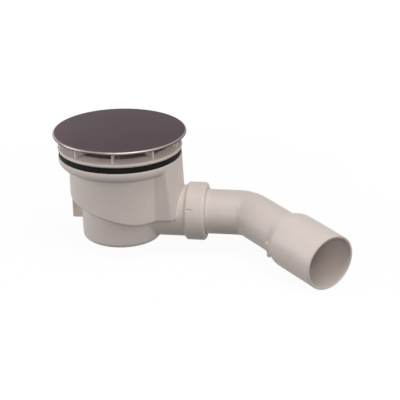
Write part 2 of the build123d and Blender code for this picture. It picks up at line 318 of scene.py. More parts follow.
# %% Finishes
def finish(name, look):
    """Finish from a row: two colours mixed by the mottle, a roughness range and bump set by the grain."""
    material = bpy.data.materials.new(name)
    material.use_nodes = True
    nodes, links = material.node_tree.nodes, material.node_tree.links
    shader = nodes["Principled BSDF"]
    shader.inputs["Metallic"].default_value = look["metal"]
    shader.inputs["Specular IOR Level"].default_value = look["specular"]
    shader.inputs["Specular Tint"].default_value = (*look["tint"], 1)
    slow = nodes.new("ShaderNodeGroup")
    slow.node_tree = slow_mottle
    slow.inputs["Scale"].default_value = look["mottle"]
    tone = nodes.new("ShaderNodeMix")
    tone.data_type = "RGBA"
    tone.inputs["A"].default_value = (*look["light"], 1)
    tone.inputs["B"].default_value = (*look["dark"], 1)
    links.new(slow.outputs["Mask"], tone.inputs["Factor"])
    links.new(tone.outputs["Result"], shader.inputs["Base Color"])
    fine = nodes.new("ShaderNodeGroup")
    fine.node_tree = fine_grain
    fine.inputs["Scale"].default_value = look["grain"]
    fine.inputs["Stretch"].default_value = look["stretch"]
    gloss = nodes.new("ShaderNodeMapRange")
    gloss.inputs["To Min"].default_value = look["rough"][0]
    gloss.inputs["To Max"].default_value = look["rough"][1]
    links.new(fine.outputs["Height"], gloss.inputs["Value"])
    links.new(gloss.outputs["Result"], shader.inputs["Roughness"])
    bump = nodes.new("ShaderNodeBump")
    bump.inputs["Distance"].default_value = look["bump_mm"] * MM
    bump.inputs["Strength"].default_value = look["bump"]
    links.new(fine.outputs["Height"], bump.inputs["Height"])
    links.new(bump.outputs["Normal"], shader.inputs["Normal"])
    return material


plastic_look = {
    "light": (0.76, 0.685, 0.635),
    "dark": (0.735, 0.66, 0.61),
    "rough": (0.36, 0.52),
    "metal": 0.0,
    "specular": 0.4,
    "tint": (1, 1, 1),
    "mottle": 45.0,
    "grain": 1400.0,
    "stretch": (1, 1, 1),
    "bump_mm": 0.05,
    "bump": 0.25,
}
# The steel's two colours are painted dark, a painted reflection of a dark room: what the cover really
# mirrors here is the white sky and floor.
steel_look = {
    "light": (0.108, 0.082, 0.093),
    "dark": (0.094, 0.071, 0.081),
    "rough": (0.22, 0.36),
    "metal": 1.0,
    "specular": 0.5,
    "tint": (0.60, 0.57, 0.58),
    "mottle": 30.0,
    "grain": 2600.0,
    "stretch": (0.02, 1, 1),
    "bump_mm": 0.02,
    "bump": 0.2,
}
rubber_look = {
    "light": (0.006, 0.006, 0.005),
    "dark": (0.010, 0.010, 0.008),
    "rough": (0.50, 0.75),
    "metal": 0.0,
    "specular": 0.1,
    "tint": (1, 1, 1),
    "mottle": 90.0,
    "grain": 1100.0,
    "stretch": (1, 1, 1),
    "bump_mm": 0.08,
    "bump": 0.35,
}
white_plastic = finish("moulded_white", plastic_look)
cover_steel = finish("brushed_cover", steel_look)
black_rubber = finish("black_rubber", rubber_look)
finish_of_slot = {"white_plastic": white_plastic, "cover_steel": cover_steel, "black_rubber": black_rubber}
slot_of_node = {part["node"]: part["material_slot"] for part in frame["record"]["subparts"]}
for node, slot in slot_of_node.items():
    for material_slot in frame["nodes"][node].material_slots:
        material_slot.material = finish_of_slot[slot]
print("finishes:", sorted(finish_of_slot))

# %% [markdown]
# ## Sizes
#
# The CAD source names its sizes in millimetres, and a skin that stands for a node has to repeat them.
# As there, most of them follow from the tray hole, the pipe and a few heights.

# %% Sizes round the tray hole
tray_hole_r = 45.0
clamp_w = 10.0
seal_inset = 0.5
flange_overhang = 0.5
flange_washer_t = 1.6
body_seal_t = 4.2
crest_h = 6.6
cap_overhang = 3.8
skirt_clearance = 2.4
skirt_wall = 2.4
thread_gap = 0.3
wall = 2.6
collar_r = tray_hole_r + clamp_w
seal_r = collar_r - seal_inset
flange_r = collar_r + flange_overhang
crest_z = flange_washer_t + crest_h
cap_r = flange_r + cap_overhang
skirt_r = tray_hole_r - skirt_clearance
bowl_r = skirt_r - skirt_wall
collar_bore_r = skirt_r + thread_gap

# %% Sizes along the outlet
outlet_z = -57.6
pipe_r = 20.0
pipe_wall = 2.0
slide_gap = 0.4
spigot_wall = 2.5
nut_stand_off = 4.2
nut_len = 18.8
nut_wall = 2.8
union_rings_t = 5.2
pipe_insert = 23.0
pipe_show = 36.6
spigot_bore_r = pipe_r + slide_gap
spigot_r = spigot_bore_r + spigot_wall
nut_bore_r = spigot_r + thread_gap
nut_r = nut_bore_r + nut_wall
nut_start_x = collar_r + nut_stand_off
nut_end_x = nut_start_x + nut_len
nut_seat_x = nut_end_x - nut_wall
spigot_end_x = nut_seat_x - union_rings_t
pipe_in_x = spigot_end_x - pipe_insert
bend_corner_x = nut_end_x + pipe_show

# %% [markdown]
# ## Outlines and turned surfaces
#
# A turned piece is an outline in radius and height that is carried round a circle. No moulded edge is
# sharp, so each corner of an outline has a rounding: the corner gives way to an arc that touches both of
# its sides. Smooth shading blends normals across faces, which would make a flat beside a tight arc look
# bent, so every side also gets a point close to each of its ends to keep it flat.

# %% Rounded outline
least_round = 0.12
side_guard = 0.3
most_guard = 0.3


def rounded(corners, steps=8):
    """Closed outline of corners (a, b, rounding) as an array of points.

    The two sides of a corner meet at an angle. An arc of the given radius touches each side at
    radius / tan(half the angle) from the corner, its centre lies at radius / sin(half the angle) on the
    bisector, and its points swing from the first touching point to the second."""
    rows = np.array(corners, float)
    point = rows[:, :2]
    radius = np.maximum(rows[:, 2], least_round)[:, None]
    to_last = np.roll(point, 1, 0) - point
    to_next = np.roll(point, -1, 0) - point
    to_last /= np.linalg.norm(to_last, axis=1, keepdims=True)
    to_next /= np.linalg.norm(to_next, axis=1, keepdims=True)
    half = np.arccos(np.clip((to_last * to_next).sum(1, keepdims=True), -1, 1)) / 2
    first = point + to_last * radius / np.tan(half)
    second = point + to_next * radius / np.tan(half)
    bisector = to_last + to_next
    bisector /= np.linalg.norm(bisector, axis=1, keepdims=True)
    centre = point + bisector * radius / np.sin(half)
    sweep = (np.pi - 2 * half)[:, :, None]
    t = np.linspace(0, 1, steps)[None, :, None]
    leave, reach = (first - centre)[:, None], (second - centre)[:, None]
    swing = np.sin((1 - t) * sweep) * leave + np.sin(t * sweep) * reach
    arcs = centre[:, None] + swing / np.sin(sweep)
    side = np.roll(first, -1, 0) - second
    share = np.minimum(side_guard / np.linalg.norm(side, axis=1, keepdims=True), most_guard)
    guards = np.stack([second + side * share, second + side * (1 - share)], 1)
    return np.concatenate([arcs, guards], 1).reshape(-1, 2)


# %% Mesh from a grid of points
def new_piece(name, points, faces, slot):
    """Smooth mesh object from points in millimetres, which rides on the trap and takes a slot's finish."""
    mesh = bpy.data.meshes.new(name)
    mesh.from_pydata((np.asarray(points) * MM).tolist(), [], faces)
    mesh.polygons.foreach_set("use_smooth", np.ones(len(mesh.polygons), bool))
    mesh.materials.append(finish_of_slot[slot])
    mesh.validate()
    piece = bpy.data.objects.new(name, mesh)
    bpy.context.scene.collection.objects.link(piece)
    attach(piece, "root")
    print(name, len(mesh.polygons), "faces")
    return piece


def ring_faces(rows, columns):
    """Quads of a grid that closes on itself both ways: rows along the outline, columns round the circle."""
    here = np.arange(rows * columns).reshape(rows, columns)
    beside = np.roll(here, -1, 1)
    faces = np.stack([here, beside, np.roll(beside, -1, 0), np.roll(here, -1, 0)], -1)
    return faces.reshape(-1, 4).tolist()


def counter_clockwise(outline):
    """Turns the outline round where its signed area is negative, so that faces point outwards."""
    a, b = outline[:, 0], outline[:, 1]
    area = (a * np.roll(b, -1) - b * np.roll(a, -1)).sum()
    return outline if area > 0 else outline[::-1]


# %% Turned surface
round_steps = 192


def around(outline, angles):
    """Points (radius cos angle, radius sin angle, height) for every outline point and angle."""
    radius, height = outline[:, :1], outline[:, 1:]
    return np.stack([radius * np.cos(angles), radius * np.sin(angles), height + 0 * angles], -1)


def along_outlet(points):
    """Lays points made about Z on the outlet's axis: their height becomes X, and their -X points up."""
    return np.stack([points[..., 2], points[..., 1], outlet_z - points[..., 0]], -1)


def turned_ring(name, corners, slot):
    """Ring turned about the trap's axis from a rounded outline."""
    outline = counter_clockwise(rounded(corners))
    angles = np.linspace(0, 2 * np.pi, round_steps, endpoint=False)
    points = around(outline, angles)
    return new_piece(name, points.reshape(-1, 3), ring_faces(*points.shape[:2]), slot)


# %% [markdown]
# ## Flange ring and seals
#
# The flange lies on the shower tray and its skirt screws down into the body, which squeezes the tray
# between a thin washer and a thicker seal. Its top is a wide, nearly level shelf under the cover, so it
# lies in the cover's shadow and only its edge is bright. On the trap as it is sold nothing lies between the
# two rubbers, so they meet and show as one black band.

# %% Flange ring
flange_edge_h = 2.8
flange_edge_draw = 0.6
shelf_w = 10.5
shelf_drop = 1.8
bowl_depth = 3.0
dip_seat_z = -8.0
dip_seat_t = 5.0
dip_seat_w = 6.0
flange_edge_r = flange_r - flange_edge_draw
flange_edge_z = flange_washer_t + flange_edge_h
shelf_r = flange_r - shelf_w
shelf_z = crest_z - shelf_drop
dip_seat_bore_r = bowl_r - dip_seat_w
skirt_foot_z = dip_seat_z - dip_seat_t
flange_skin = turned_ring(
    "flange_skin",
    [
        (dip_seat_bore_r, skirt_foot_z, 0.3),
        (skirt_r, skirt_foot_z, 0.6),
        (skirt_r, flange_washer_t, 0.2),
        (flange_edge_r, flange_washer_t, 0.3),
        (flange_r, flange_washer_t + flange_edge_h / 2, 1.0),
        (flange_edge_r, flange_edge_z, 1.0),
        (shelf_r, shelf_z, 1.2),
        (bowl_r, -bowl_depth / 2, 1.5),
        (bowl_r, dip_seat_z, 0.3),
        (dip_seat_bore_r, dip_seat_z, 0.3),
    ],
    "white_plastic",
)
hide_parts("flange_ring")

# %% Washer and seal
washer_edge = 0.3
seal_edge = 0.6
rubber_bore_edge = 0.2


def flat_rubber(name, low, high, edge):
    """Flat rubber ring round the tray hole, with its outer edges rounded."""
    outer = [(seal_r, low, edge), (seal_r, high, edge)]
    inner = [(tray_hole_r, high, rubber_bore_edge), (tray_hole_r, low, rubber_bore_edge)]
    return turned_ring(name, outer + inner, "black_rubber")


flange_washer_skin = flat_rubber("flange_washer_skin", 0.0, flange_washer_t, washer_edge)
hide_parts("flange_washer")
body_seal_skin = flat_rubber("body_seal_skin", -body_seal_t, 0.0, seal_edge)
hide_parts("body_seal")

# %% [markdown]
# ## Cover cap
#
# The cap is a disc of steel sheet, pressed to a very shallow dome with a tight rounded edge and a short lip
# turned down. Its outline starts and ends on the axis, so it isn't a closed ring: the first and the last
# point become poles with a fan of triangles. The dome needs rings all the way in, or its slope would show
# as a faint cone. The top is brushed and painted dark, a painted reflection of a dark room. Close to the
# rim a second, brighter colour takes over, a painted highlight along the rounded edge.

# %% Cover cap
inlet_slot_h = 4.9
carrier_inset = 5.3
carrier_t = 2.0
carrier_skirt = 1.0
seat_gap = 0.2
cap_t = 1.0
cap_dome_r = 1200.0
cap_lip_h = 2.1
cap_edge_round = 1.8
cap_rings = 40
edge_steps = 12
foot_steps = 6
carrier_foot_z = crest_z + inlet_slot_h
carrier_r = cap_r - carrier_inset


def dome_drop(r):
    """How far a sphere of the dome's radius has fallen from its crown at radius r."""
    return cap_dome_r - np.sqrt(cap_dome_r**2 - r**2)


carrier_crown_z = carrier_foot_z + carrier_skirt + dome_drop(carrier_r - carrier_t) + carrier_t
cap_crown_z = carrier_crown_z + seat_gap + cap_t
cap_lip_z = cap_crown_z - dome_drop(cap_r) - cap_lip_h


def dome_side(edge_r, crown_z, edge):
    """Half an outline from the crown outwards: the dome, then a quarter round that ends at edge_r."""
    r = np.linspace(0, edge_r - edge, cap_rings)
    dome = np.stack([r, crown_z - dome_drop(r)], 1)
    turn = np.linspace(0, np.pi / 2, edge_steps)[1:]
    centre_z = dome[-1, 1] - edge
    arc = np.stack([r[-1] + edge * np.sin(turn), centre_z + edge * np.cos(turn)], 1)
    return np.concatenate([dome, arc])


def domed_shell(outer, inner, foot_z, foot_round):
    """Points and faces of a domed cap: the dome outside, two quarter rounds at the foot and the dome
    inside, as one open outline from pole to pole that is turned about the axis."""
    swing = np.linspace(0, np.pi / 2, foot_steps)
    out_r = outer[-1, 0] - foot_round + foot_round * np.cos(swing)
    in_r = inner[-1, 0] + foot_round - foot_round * np.sin(swing)
    low = foot_z + foot_round
    foot_out = np.stack([out_r, low - foot_round * np.sin(swing)], 1)
    foot_in = np.stack([in_r, low - foot_round * np.cos(swing)], 1)
    outline = np.concatenate([outer, foot_out, foot_in[1:], inner[::-1]])
    angles = np.linspace(0, 2 * np.pi, round_steps, endpoint=False)
    rings = around(outline[1:-1], angles)
    rows, columns = rings.shape[:2]
    here = np.arange(rows * columns).reshape(rows, columns)
    beside = np.roll(here, -1, 1)
    quads = np.stack([here[:-1], here[1:], beside[1:], beside[:-1]], -1).reshape(-1, 4).tolist()
    top, bottom = rows * columns, rows * columns + 1
    fan = np.stack([here[0] * 0 + top, here[0], beside[0]], -1).tolist()
    fan_below = np.stack([here[-1] * 0 + bottom, beside[-1], here[-1]], -1).tolist()
    poles = [[0, 0, outline[0, 1]], [0, 0, outline[-1, 1]]]
    return np.concatenate([rings.reshape(-1, 3), poles]), quads + fan + fan_below


cap_outside = dome_side(cap_r, cap_crown_z, cap_edge_round)
cap_inside = dome_side(cap_r - cap_t, cap_crown_z - cap_t, cap_edge_round - cap_t)
cap_points, cap_faces = domed_shell(cap_outside, cap_inside, cap_lip_z, cap_t / 2)
cap_skin = new_piece("cover_cap_skin", cap_points, cap_faces, "cover_steel")
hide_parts("cover_cap")

# %% Painted highlight on the rim of the cover cap
# A brighter colour painted on the rounded edge as a highlight, which the lamps' reflections then brighten
# further.
rim_highlight_colour = (0.34, 0.30, 0.298, 1)
rim_starts = (cap_r - 1.5, cap_r - 1.0)
rim_ends = (cap_r - 0.3, cap_r - 0.05)


def paint_rim_highlight(material):
    """Mixes the rim's brighter colour, a painted highlight, over the finish by the distance from the axis,
    in
    object space: a band on the rounded edge that rises over rim_starts and falls over rim_ends, the product
    of two smooth steps."""
    nodes, links = material.node_tree.nodes, material.node_tree.links
    shader = nodes["Principled BSDF"]
    brushed = shader.inputs["Base Color"].links[0].from_socket
    place = nodes.new("ShaderNodeTexCoord")
    level = nodes.new("ShaderNodeVectorMath")
    level.operation = "MULTIPLY"
    level.inputs[1].default_value = (1, 1, 0)
    away = nodes.new("ShaderNodeVectorMath")
    away.operation = "LENGTH"
    band = nodes.new("ShaderNodeMath")
    band.operation = "MULTIPLY"
    for side, (low, high) in enumerate((rim_starts, rim_ends[::-1])):
        step = nodes.new("ShaderNodeMapRange")
        step.interpolation_type = "SMOOTHSTEP"
        step.inputs["From Min"].default_value = low * MM
        step.inputs["From Max"].default_value = high * MM
        links.new(away.outputs["Value"], step.inputs["Value"])
        links.new(step.outputs["Result"], band.inputs[side])
    rim = nodes.new("ShaderNodeMix")
    rim.data_type = "RGBA"
    rim.inputs["B"].default_value = rim_highlight_colour
    links.new(place.outputs["Object"], level.inputs[0])
    links.new(level.outputs[0], away.inputs[0])
    links.new(band.outputs[0], rim.inputs["Factor"])
    links.new(brushed, rim.inputs["A"])
    links.new(rim.outputs["Result"], shader.inputs["Base Color"])


paint_rim_highlight(cover_steel)

# %% [markdown]
# ## Cover carrier
#
# The cap sits on a plastic carrier, a second and thicker dome on nine radial ribs. They stand on the
# flange's shelf, reach a little way into its bowl to keep the cover centred, and leave the slot for the
# water open between them. A rib is a flat plate: its outline in radius and height is repeated four times
# across the thickness, and the two outer copies are drawn in a little, which breaks the edges. The plates
# are shaded flat, the dome smooth.

# %% Ribs of the cover carrier
carrier_rib_count = 9
carrier_rib_half = 0.9
first_rib = np.radians(-86.0)
rib_setback = 1.0
rib_reach = 3.4
rib_lead = 1.0
rib_gap = 0.1
rib_draw = 0.96
rib_flat = 0.75
rib_outer_r = carrier_r - rib_setback
rib_inner_r = shelf_r - rib_reach
rib_top_z = carrier_foot_z + carrier_t
rib_low_z = crest_z - bowl_depth
shelf_slope = (shelf_z - flange_edge_z) / (flange_edge_r - shelf_r)
rib_corners = [
    (rib_inner_r, rib_top_z),
    (rib_outer_r, rib_top_z),
    (rib_outer_r, shelf_z - shelf_slope * (rib_outer_r - shelf_r) + rib_gap),
    (shelf_r, shelf_z + rib_gap),
    (shelf_r - rib_lead, rib_low_z),
    (rib_inner_r, rib_low_z),
]


def carrier_ribs():
    """Points and faces of the ribs: four copies of the outline across the thickness, at each rib's angle."""
    outline = np.array(rib_corners)
    middle = outline.mean(0)
    drawn_in = middle + (outline - middle) * rib_draw
    rows = np.stack([drawn_in, outline, outline, drawn_in])
    across = np.array([-1.0, -rib_flat, rib_flat, 1.0])[:, None] * carrier_rib_half
    turn = (first_rib + np.arange(carrier_rib_count) * 2 * np.pi / carrier_rib_count)[:, None, None]
    x = rows[..., 0] * np.cos(turn) - across * np.sin(turn)
    y = rows[..., 0] * np.sin(turn) + across * np.cos(turn)
    points = np.stack([x, y, rows[..., 1] + 0 * x], -1).reshape(-1, 3)
    here = np.arange(len(points)).reshape(x.shape)
    beside = np.roll(here, -1, 2)
    quads = np.stack([here[:, :-1], beside[:, :-1], beside[:, 1:], here[:, 1:]], -1).reshape(-1, 4)
    return points, quads.tolist() + here[:, 0, ::-1].tolist() + here[:, -1].tolist()


# %% Cover carrier skin
carrier_edge = 0.5
carrier_inner_edge = 0.3
carrier_foot_round = 0.4
shell_outside = dome_side(carrier_r, carrier_crown_z, carrier_edge)
shell_inside = dome_side(carrier_r - carrier_t, carrier_crown_z - carrier_t, carrier_inner_edge)
shell_points, shell_faces = domed_shell(shell_outside, shell_inside, carrier_foot_z, carrier_foot_round)
rib_points, rib_faces = carrier_ribs()
rib_faces = [[corner + len(shell_points) for corner in face] for face in rib_faces]
carrier_points = np.concatenate([shell_points, rib_points])
carrier_skin = new_piece("cover_carrier_skin", carrier_points, shell_faces + rib_faces, "white_plastic")
smooth_faces = np.arange(len(carrier_skin.data.polygons)) < len(shell_faces)
carrier_skin.data.polygons.foreach_set("use_smooth", smooth_faces)
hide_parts("cover_carrier")

# %% [markdown]
# ## Trap body
#
# The body is one moulding of many forms: collar, tapered drum, sloping floor, sump cup, outlet housing,
# spigot and rib, all hollow and all running into each other with small fillets. No single grid of two
# parameters covers that, and joined meshes would leave seams. It could be carved with boolean modifiers and
# bevels, which often fail where several forms meet. A distance field handles it in a few lines: each form
# says how far a point lies outside it, forms are joined or cut by comparing distances, and a fillet is a
# matter of blending near the meeting line. A slanted wall, written as a height or width that changes, reads
# as too far away, so its distance is scaled down by its steepness. The skin is drawn where it is zero.

# %% Joining distances
def round_join(a, b, radius):
    """Union of two forms: the smaller distance, with a fillet of the given radius where both are near."""
    near = np.hypot(np.maximum(radius - a, 0), np.maximum(radius - b, 0))
    return np.maximum(radius, np.minimum(a, b)) - near


def round_meet(a, b, radius):
    """Common part of two forms: the larger distance, with the edge where they meet rounded."""
    near = np.hypot(np.maximum(a + radius, 0), np.maximum(b + radius, 0))
    return np.minimum(-radius, np.maximum(a, b)) + near


# %% Body sizes
collar_h = 10.1
collar_round = 8.0
collar_top_round = 0.6
collar_lap = 1.0
neck_wall = 3.1
neck_foot_z = -15.0
chamber_draft = 0.6
waterway_w = 9.0
sump_draft = 0.7
sump_round = 4.5
well_round = 3.2
weir_z = -20.0
water_seal = 50.0
foot_clear = 10.2
collar_top_z = -body_seal_t
collar_foot_z = collar_top_z - collar_h
chamber_top_r = collar_bore_r + neck_wall
chamber_foot_r = chamber_top_r - chamber_draft
sump_r = chamber_foot_r - waterway_w
sump_foot_r = sump_r - sump_draft
sump_floor_z = weir_z - water_seal - foot_clear - wall

# %% Sizes of floor, rib and housing
floor_slope = np.tan(np.radians(14.0))
floor_rise = 3.9
floor_flat_x = 20.0
floor_ease = 3.7
floor_round = 2.2
floor_low_z = outlet_z + floor_rise - floor_slope * floor_flat_x
rib_foot_z = outlet_z - 10.7
rib_root_z = -40.0
rib_inner_x = -34.6
rib_half = 1.3
rib_round = 0.3
housing_low_half = spigot_r + 5.1
housing_top_half = spigot_r + 7.7
housing_round = 1.6
housing_flare = 0.08
housing_flare_x = collar_r - 6.0
housing_lean = 2.6
housing_start_x = 10.0
housing_top_z = collar_top_z - collar_h / 2 + collar_round / 2
spigot_end_round = 0.4
mouth_chamfer = 1.8
inner_edge_round = 0.4
fillet = {"drum": 2.0, "cup": 1.2, "rib": 0.6, "house": 0.7, "spigot": 1.0}


# %% Distance to the body's forms
floor_scale = 0.97
side_scale = 0.95
mouth_scale = 0.8


def between(z, low_z, low_r, high_z, high_r):
    """Straight taper: the radius at height z of a cone through two radii."""
    return low_r + (high_r - low_r) * (z - low_z) / (high_z - low_z)


def chamber_floor(x):
    """Floor height: level beyond floor_flat_x, rising before it, with a hyperbola easing the bend."""
    run = floor_flat_x - x
    return floor_low_z + floor_slope * (run + np.sqrt(run**2 + floor_ease**2)) / 2


def housing_half(x, z):
    """Half the housing's width: a taper from foot to top, whose foot also widens towards the drum."""
    foot = housing_low_half + housing_flare * np.maximum(housing_flare_x - x, 0)
    return between(z, outlet_z, foot, housing_top_z, housing_top_half)


def housing_reach(z):
    """Radius of the housing's outer face, which leans outwards from the collar down to the foot."""
    return between(z, outlet_z, collar_r + housing_lean, housing_top_z, collar_r)


def drum_radius(z):
    """Outer radius of the drum, which narrows a little downwards."""
    return between(z, sump_floor_z, chamber_foot_r, collar_foot_z, chamber_top_r)


def cup_radius(z):
    """Outer radius of the sump cup, which narrows a little downwards too."""
    return between(z, sump_floor_z, sump_foot_r, weir_z, sump_r)


# %% Outside and waterways of the body
def body_outside(x, y, z, rho, out):
    """Distances to the closed outer form, which joins collar, drum, cup, rib, housing and spigot, and to
    the cup alone."""
    collar = round_meet(rho - collar_r, collar_foot_z - z, collar_round)
    collar = round_meet(collar, z - collar_top_z, collar_top_round)
    drum = round_meet(rho - drum_radius(z), (chamber_floor(x) - z) * floor_scale, floor_round)
    drum = np.maximum(drum, z - collar_top_z + collar_lap)
    cup = np.maximum(round_meet(rho - cup_radius(z), sump_floor_z - z, sump_round), z - weir_z)
    rib = np.maximum(np.maximum(rho - drum_radius(z), x - rib_inner_x), rib_foot_z - z)
    rib = np.maximum(round_meet(rib, np.abs(y) - rib_half, rib_round), z - rib_root_z)
    side = (np.abs(y) - housing_half(x, z)) * side_scale
    house = round_meet(side, rho - housing_reach(z), housing_round)
    house = round_meet(house, outlet_z - z, housing_round)
    house = np.maximum(np.maximum(house, z - housing_top_z), housing_start_x - x)
    spigot = round_meet(out - spigot_r, x - spigot_end_x, spigot_end_round)
    spigot = np.maximum(spigot, housing_start_x - x)
    body = round_join(collar, drum, fillet["drum"])
    body = round_join(body, cup, fillet["cup"])
    body = round_join(body, rib, fillet["rib"])
    body = round_join(body, house, fillet["house"])
    return round_join(body, spigot, fillet["spigot"]), cup


def body_distance(x, y, z):
    """Distance to the moulding: the outer form less the waterways, with the cup's wall left standing."""
    rho, out = np.hypot(x, y), np.hypot(y, z - outlet_z)
    solid, cup = body_outside(x, y, z, rho, out)
    drum = np.maximum(rho - (drum_radius(z) - wall), (chamber_floor(x) - z) * floor_scale + wall)
    drum = np.maximum(drum, z - neck_foot_z)
    neck = np.maximum(rho - collar_bore_r, neck_foot_z - z)
    house = np.maximum(np.abs(y) - housing_half(x, z), rho - collar_r) + wall
    house = np.maximum(np.maximum(house, outlet_z - z), z - collar_foot_z + wall)
    house = np.maximum(house, housing_start_x - x)
    mouth = (out - spigot_bore_r - np.maximum(x - spigot_end_x + mouth_chamfer, 0)) * mouth_scale
    bore = np.maximum(mouth, -x)
    way = np.minimum(np.minimum(drum, neck), np.minimum(house, bore))
    way = np.maximum(way, -cup)
    well = round_meet(rho - (cup_radius(z) - wall), sump_floor_z + wall - z, well_round)
    well = np.maximum(well, z - weir_z)
    return round_meet(solid, -np.minimum(way, well), inner_edge_round)


# %% [markdown]
# Drawing the skin: the field is sampled on a grid of cubes. Wherever the sign changes along a cube's edge
# the skin crosses it, and the cube's point is the mean of its crossings. Each crossed edge then gives one
# quad between the four cubes around it. A few steps down the field's slope put every point exactly on the
# skin, and the slope itself is the true normal.

# %% Skin of a distance field
def sample_axes(low, high, step):
    """Three coordinate arrays that broadcast to the whole grid."""
    axes = [np.arange(a, b + step, step) for a, b in zip(low, high)]
    return np.meshgrid(*axes, indexing="ij", sparse=True)


def crossings(field, axis):
    """Where the sign changes between neighbours along an axis, and how far along the edge it does."""
    first = np.take(field, range(field.shape[axis] - 1), axis)
    second = np.take(field, range(1, field.shape[axis]), axis)
    crossed = (first < 0) != (second < 0)
    return crossed, np.where(crossed, first / np.where(crossed, first - second, 1), 0), first < 0


def surface_net(field):
    """Cell points in grid steps, and quads, of the zero level of a sampled field."""
    shape = np.array(field.shape) + 1
    total, count = np.zeros((*shape, 3)), np.zeros(shape)
    edges = []
    for axis in range(3):
        crossed, share, inward = crossings(field, axis)
        spot = np.argwhere(crossed)
        place = spot.astype(float)
        place[:, axis] += share[crossed]
        b, c = (axis + 1) % 3, (axis + 2) % 3
        around_edge = []
        for step_b, step_c in ((0, 0), (1, 0), (1, 1), (0, 1)):
            cell = spot.copy()
            cell[:, axis] += 1
            cell[:, b] += step_b
            cell[:, c] += step_c
            key = np.ravel_multi_index(cell.T, shape)
            np.add.at(total.reshape(-1, 3), key, place)
            np.add.at(count.reshape(-1), key, 1)
            around_edge.append(key)
        quad = np.stack(around_edge, 1)
        flip = ~inward[crossed]
        quad[flip] = quad[flip][:, ::-1]
        edges.append(quad)
    used = np.flatnonzero(count.reshape(-1))
    number = np.full(count.size, -1)
    number[used] = np.arange(len(used))
    points = total.reshape(-1, 3)[used] / count.reshape(-1)[used][:, None]
    return points, number[np.concatenate(edges)]


# %% Settling points on the skin
least_grade = 0.25
most_move = 0.5


def slope(distance, points, reach=0.05):
    """Slope of the field at each point by central differences."""
    steps = np.eye(3) * reach
    rise = [distance(*(points + s).T) - distance(*(points - s).T) for s in steps]
    return np.stack(rise, 1) / (2 * reach)


def settle(distance, points, rounds=4):
    """Newton steps along the slope: each point moves by its distance over the slope's square."""
    for _ in range(rounds):
        grade = slope(distance, points)
        size = np.maximum((grade**2).sum(1), least_grade)
        move = distance(*points.T) / size
        points = points - grade * np.clip(move, -most_move, most_move)[:, None]
    return points


# %% Trap body skin
body_step = 1.1
body_low = np.array([-58.0, -58.0, -86.0])
body_high = np.array([73.0, 58.0, 0.0])
body_field = body_distance(*sample_axes(body_low, body_high, body_step))
net_points, net_quads = surface_net(body_field)
net_points = settle(body_distance, body_low + net_points * body_step)
body_skin = new_piece("trap_body_skin", net_points, net_quads.tolist(), "white_plastic")
body_normals = slope(body_distance, net_points)
body_normals /= np.maximum(np.linalg.norm(body_normals, axis=1, keepdims=True), 1e-6)
body_skin.data.normals_split_custom_set_from_vertices(body_normals.tolist())
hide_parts("trap_body")

# %% [markdown]
# ## Union nut
#
# The nut is turned too, but its grip has six shallow notches. A notch is a place where the radius is a
# little smaller, so it is a second function on the same grid: a window of angle with steep sides, times a
# depth that starts at the chamfered end and runs out towards the other. The angles are spaced more closely
# at the notches' sides, to keep them clean.

# %% Notches of the union nut
nut_steps = 144
notch_count = 6
notch_depth = 0.7
notch_len = 9.2
notch_w = 2.2
notch_ease = 0.3
notch_run_out = 4.0
first_notch = np.radians(247.5)
notch_end_x = nut_start_x + notch_len
notch_half = notch_w / 2 / nut_r


def window(value, low, high, ease):
    """1 between low and high and 0 outside, with a smooth step of a given width centred on each border."""
    up = np.clip((value - low) / ease + 0.5, 0, 1)
    down = np.clip((high - value) / ease + 0.5, 0, 1)
    rise = np.minimum(up, down)
    return rise * rise * (3 - 2 * rise)


def nut_angles():
    """Even angles, with close rows added across both sides of every notch."""
    notches = first_notch + np.arange(notch_count) * 2 * np.pi / notch_count
    spread = np.linspace(-0.6, 0.6, 9) * notch_ease / nut_r
    sides = notches[:, None, None] + np.array([-notch_half, notch_half])[None, :, None] + spread
    even = np.linspace(0, 2 * np.pi, nut_steps, endpoint=False)
    return np.unique(np.round(np.concatenate([even, (sides % (2 * np.pi)).ravel()]), 5))


def notch_cut(outline, angles):
    """Depth of the notches for every outline point and angle: what stands above a floor that lies level
    from the nut's chamfered end and then runs out."""
    turn = (angles - first_notch) * notch_count
    near = np.arctan2(np.sin(turn), np.cos(turn)) / notch_count
    across = window(near, -notch_half, notch_half, notch_ease / nut_r)
    depth = notch_depth * np.clip((notch_end_x - outline[:, 1]) / notch_run_out, 0, 1)
    cut = np.maximum(outline[:, 0] - (nut_r - depth), 0)
    return cut[:, None] * across[None, :]


# %% Union nut
nut_spacing = 0.45
nut_chamfer = 2.2
nut_corners = [
    (nut_bore_r, nut_start_x, 0.3),
    (nut_r - nut_chamfer, nut_start_x, 0.3),
    (nut_r, nut_start_x + nut_chamfer, 0.8),
    (nut_r, nut_end_x, 3.0),
    (spigot_bore_r, nut_end_x, 0.3),
    (spigot_bore_r, nut_seat_x, 0.2),
    (nut_bore_r, nut_seat_x, 0.2),
]


def refined(outline, spacing):
    """Closed outline whose sides are divided into equal parts, none of them longer than the spacing."""
    closed = np.vstack([outline, outline[:1]])
    length = np.linalg.norm(np.diff(closed, axis=0), axis=1)
    parts = np.ceil(length / spacing).astype(int)
    side = np.repeat(np.arange(len(parts)), parts)
    step = np.arange(parts.sum()) - np.repeat(np.cumsum(parts) - parts, parts)
    share = (step / parts[side])[:, None]
    return closed[side] * (1 - share) + closed[side + 1] * share


def union_nut():
    """The nut's outline turned about the outlet's axis, with its radius reduced by the notches' depth."""
    outline = refined(counter_clockwise(rounded(nut_corners)), nut_spacing)
    angles = nut_angles()
    radius = outline[:, :1] - notch_cut(outline, angles)
    height = outline[:, 1:] + 0 * angles
    points = along_outlet(np.stack([radius * np.cos(angles), radius * np.sin(angles), height], -1))
    return new_piece("outlet_nut_skin", points.reshape(-1, 3), ring_faces(*height.shape), "white_plastic")


nut_skin = union_nut()
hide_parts("outlet_nut")

